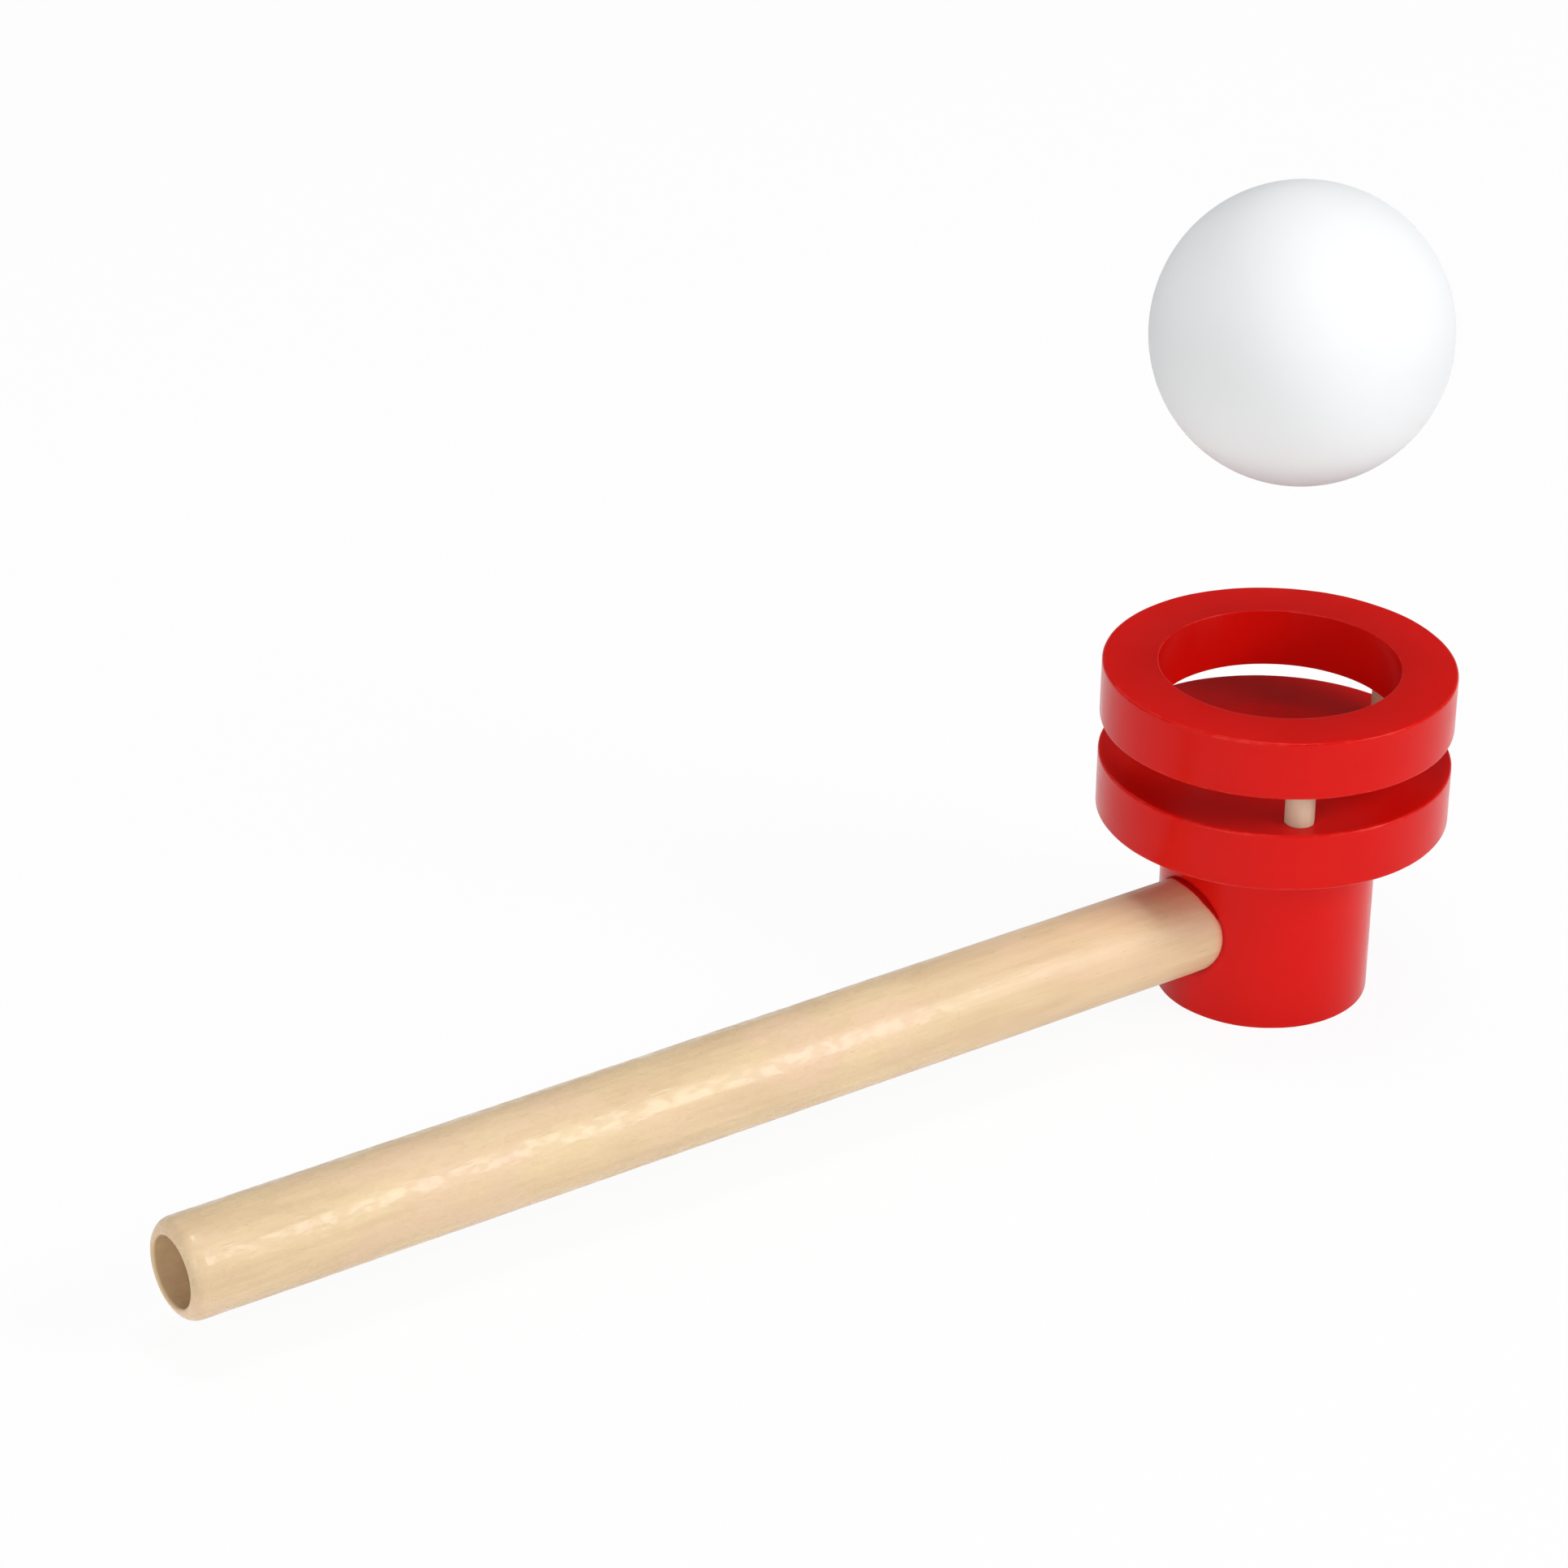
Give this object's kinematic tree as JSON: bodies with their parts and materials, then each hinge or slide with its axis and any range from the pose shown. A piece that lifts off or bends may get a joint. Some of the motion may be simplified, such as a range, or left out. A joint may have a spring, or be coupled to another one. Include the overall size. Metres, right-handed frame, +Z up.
{
  "type": "floating ball pipe toy",
  "caption": "Wooden blow pipe with an upright air jet that floats a light ball over a painted ring held on dowel pins.",
  "frame": {"origin": "centre of the bottom face of the hub's boss, which the toy stands on", "axes": "+Z up along the air jet through the ring to the ball, -X along the stem to its mouth end"},
  "size_m": [0.1463, 0.036, 0.0874],
  "materials": {
    "bare_wood": "pale natural wood, straight fine grain, satin clear varnish",
    "red_paint": "turned wood in glossy red paint",
    "pin_wood": "pale dowel, unvarnished",
    "white_plastic": "smooth white, satin to gloss"
  },
  "bodies": {
    "pipe": {"stem": "bare_wood", "boss": "red_paint", "disc": "red_paint", "ring": "red_paint", "pin_1": "pin_wood", "pin_2": "pin_wood", "pin_3": "pin_wood"},
    "floating_ball": {"ball": "white_plastic"}
  },
  "joints": [
    {"name": "ball_float", "type": "slide", "parent": "pipe", "child": "floating_ball", "axis": [0, 0, 1], "range_m": [-0.0273, 0.06]}
  ]
}
